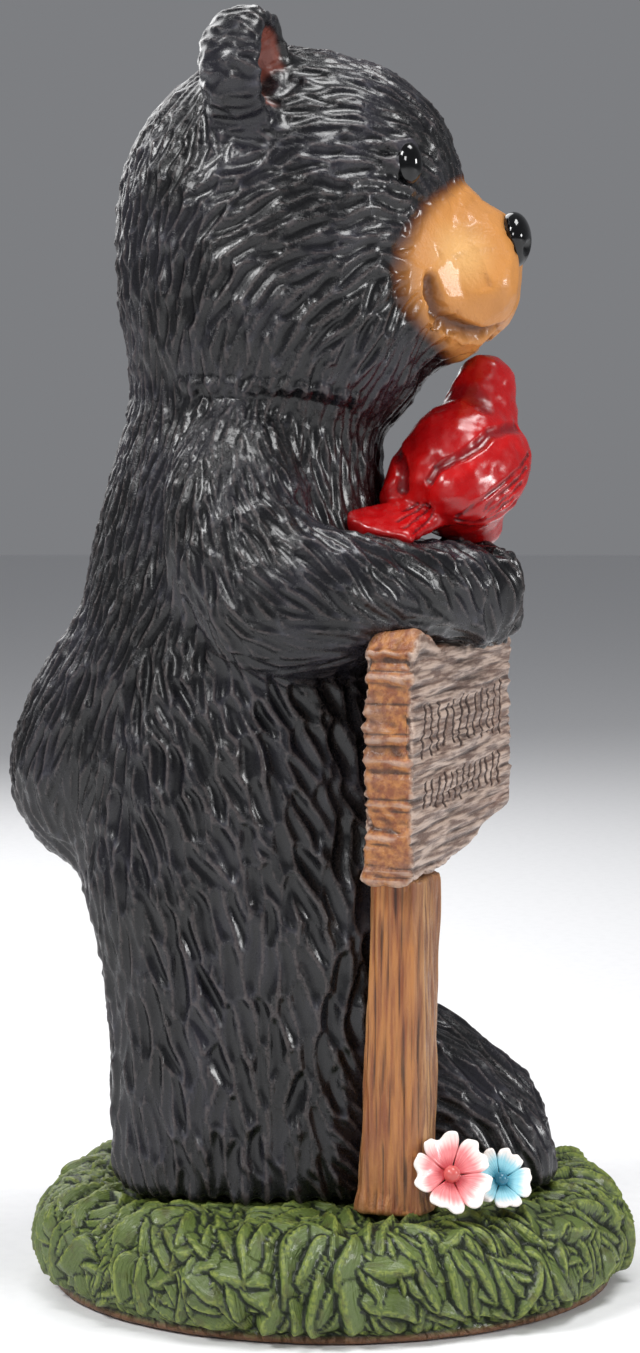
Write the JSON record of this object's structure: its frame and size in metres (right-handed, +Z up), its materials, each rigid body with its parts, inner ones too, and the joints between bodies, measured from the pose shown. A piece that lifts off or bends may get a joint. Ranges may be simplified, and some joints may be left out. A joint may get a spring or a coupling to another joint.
{
  "type": "garden statue",
  "caption": "Bear statue in a chainsaw-carved style, standing on a grassy base and leaning on a plank sign, with a cardinal on its forepaw and flowers at the post.",
  "frame": {"origin": "centre of the base's underside", "axes": "+Z up, the bear faces -Y and its right side is -X"},
  "size_m": [0.196, 0.2135, 0.4286],
  "materials": {
    "bear_paint": "satin black paint with a blue-grey sheen over cast resin",
    "grass_paint": "olive green paint with yellow-green dry brushing",
    "board_paint": "weathered wood-brown paint",
    "post_paint": "golden-brown wood paint",
    "cardinal_paint": "glossy red paint with maroon shading",
    "pink_paint": "pink and white paint",
    "blue_paint": "pale blue and white paint"
  },
  "bodies": {
    "root": {"bear": "bear_paint", "grass_base": "grass_paint", "sign_board": "board_paint", "sign_post": "post_paint", "cardinal": "cardinal_paint", "pink_flower": "pink_paint", "blue_flower": "blue_paint"}
  },
  "joints": []
}
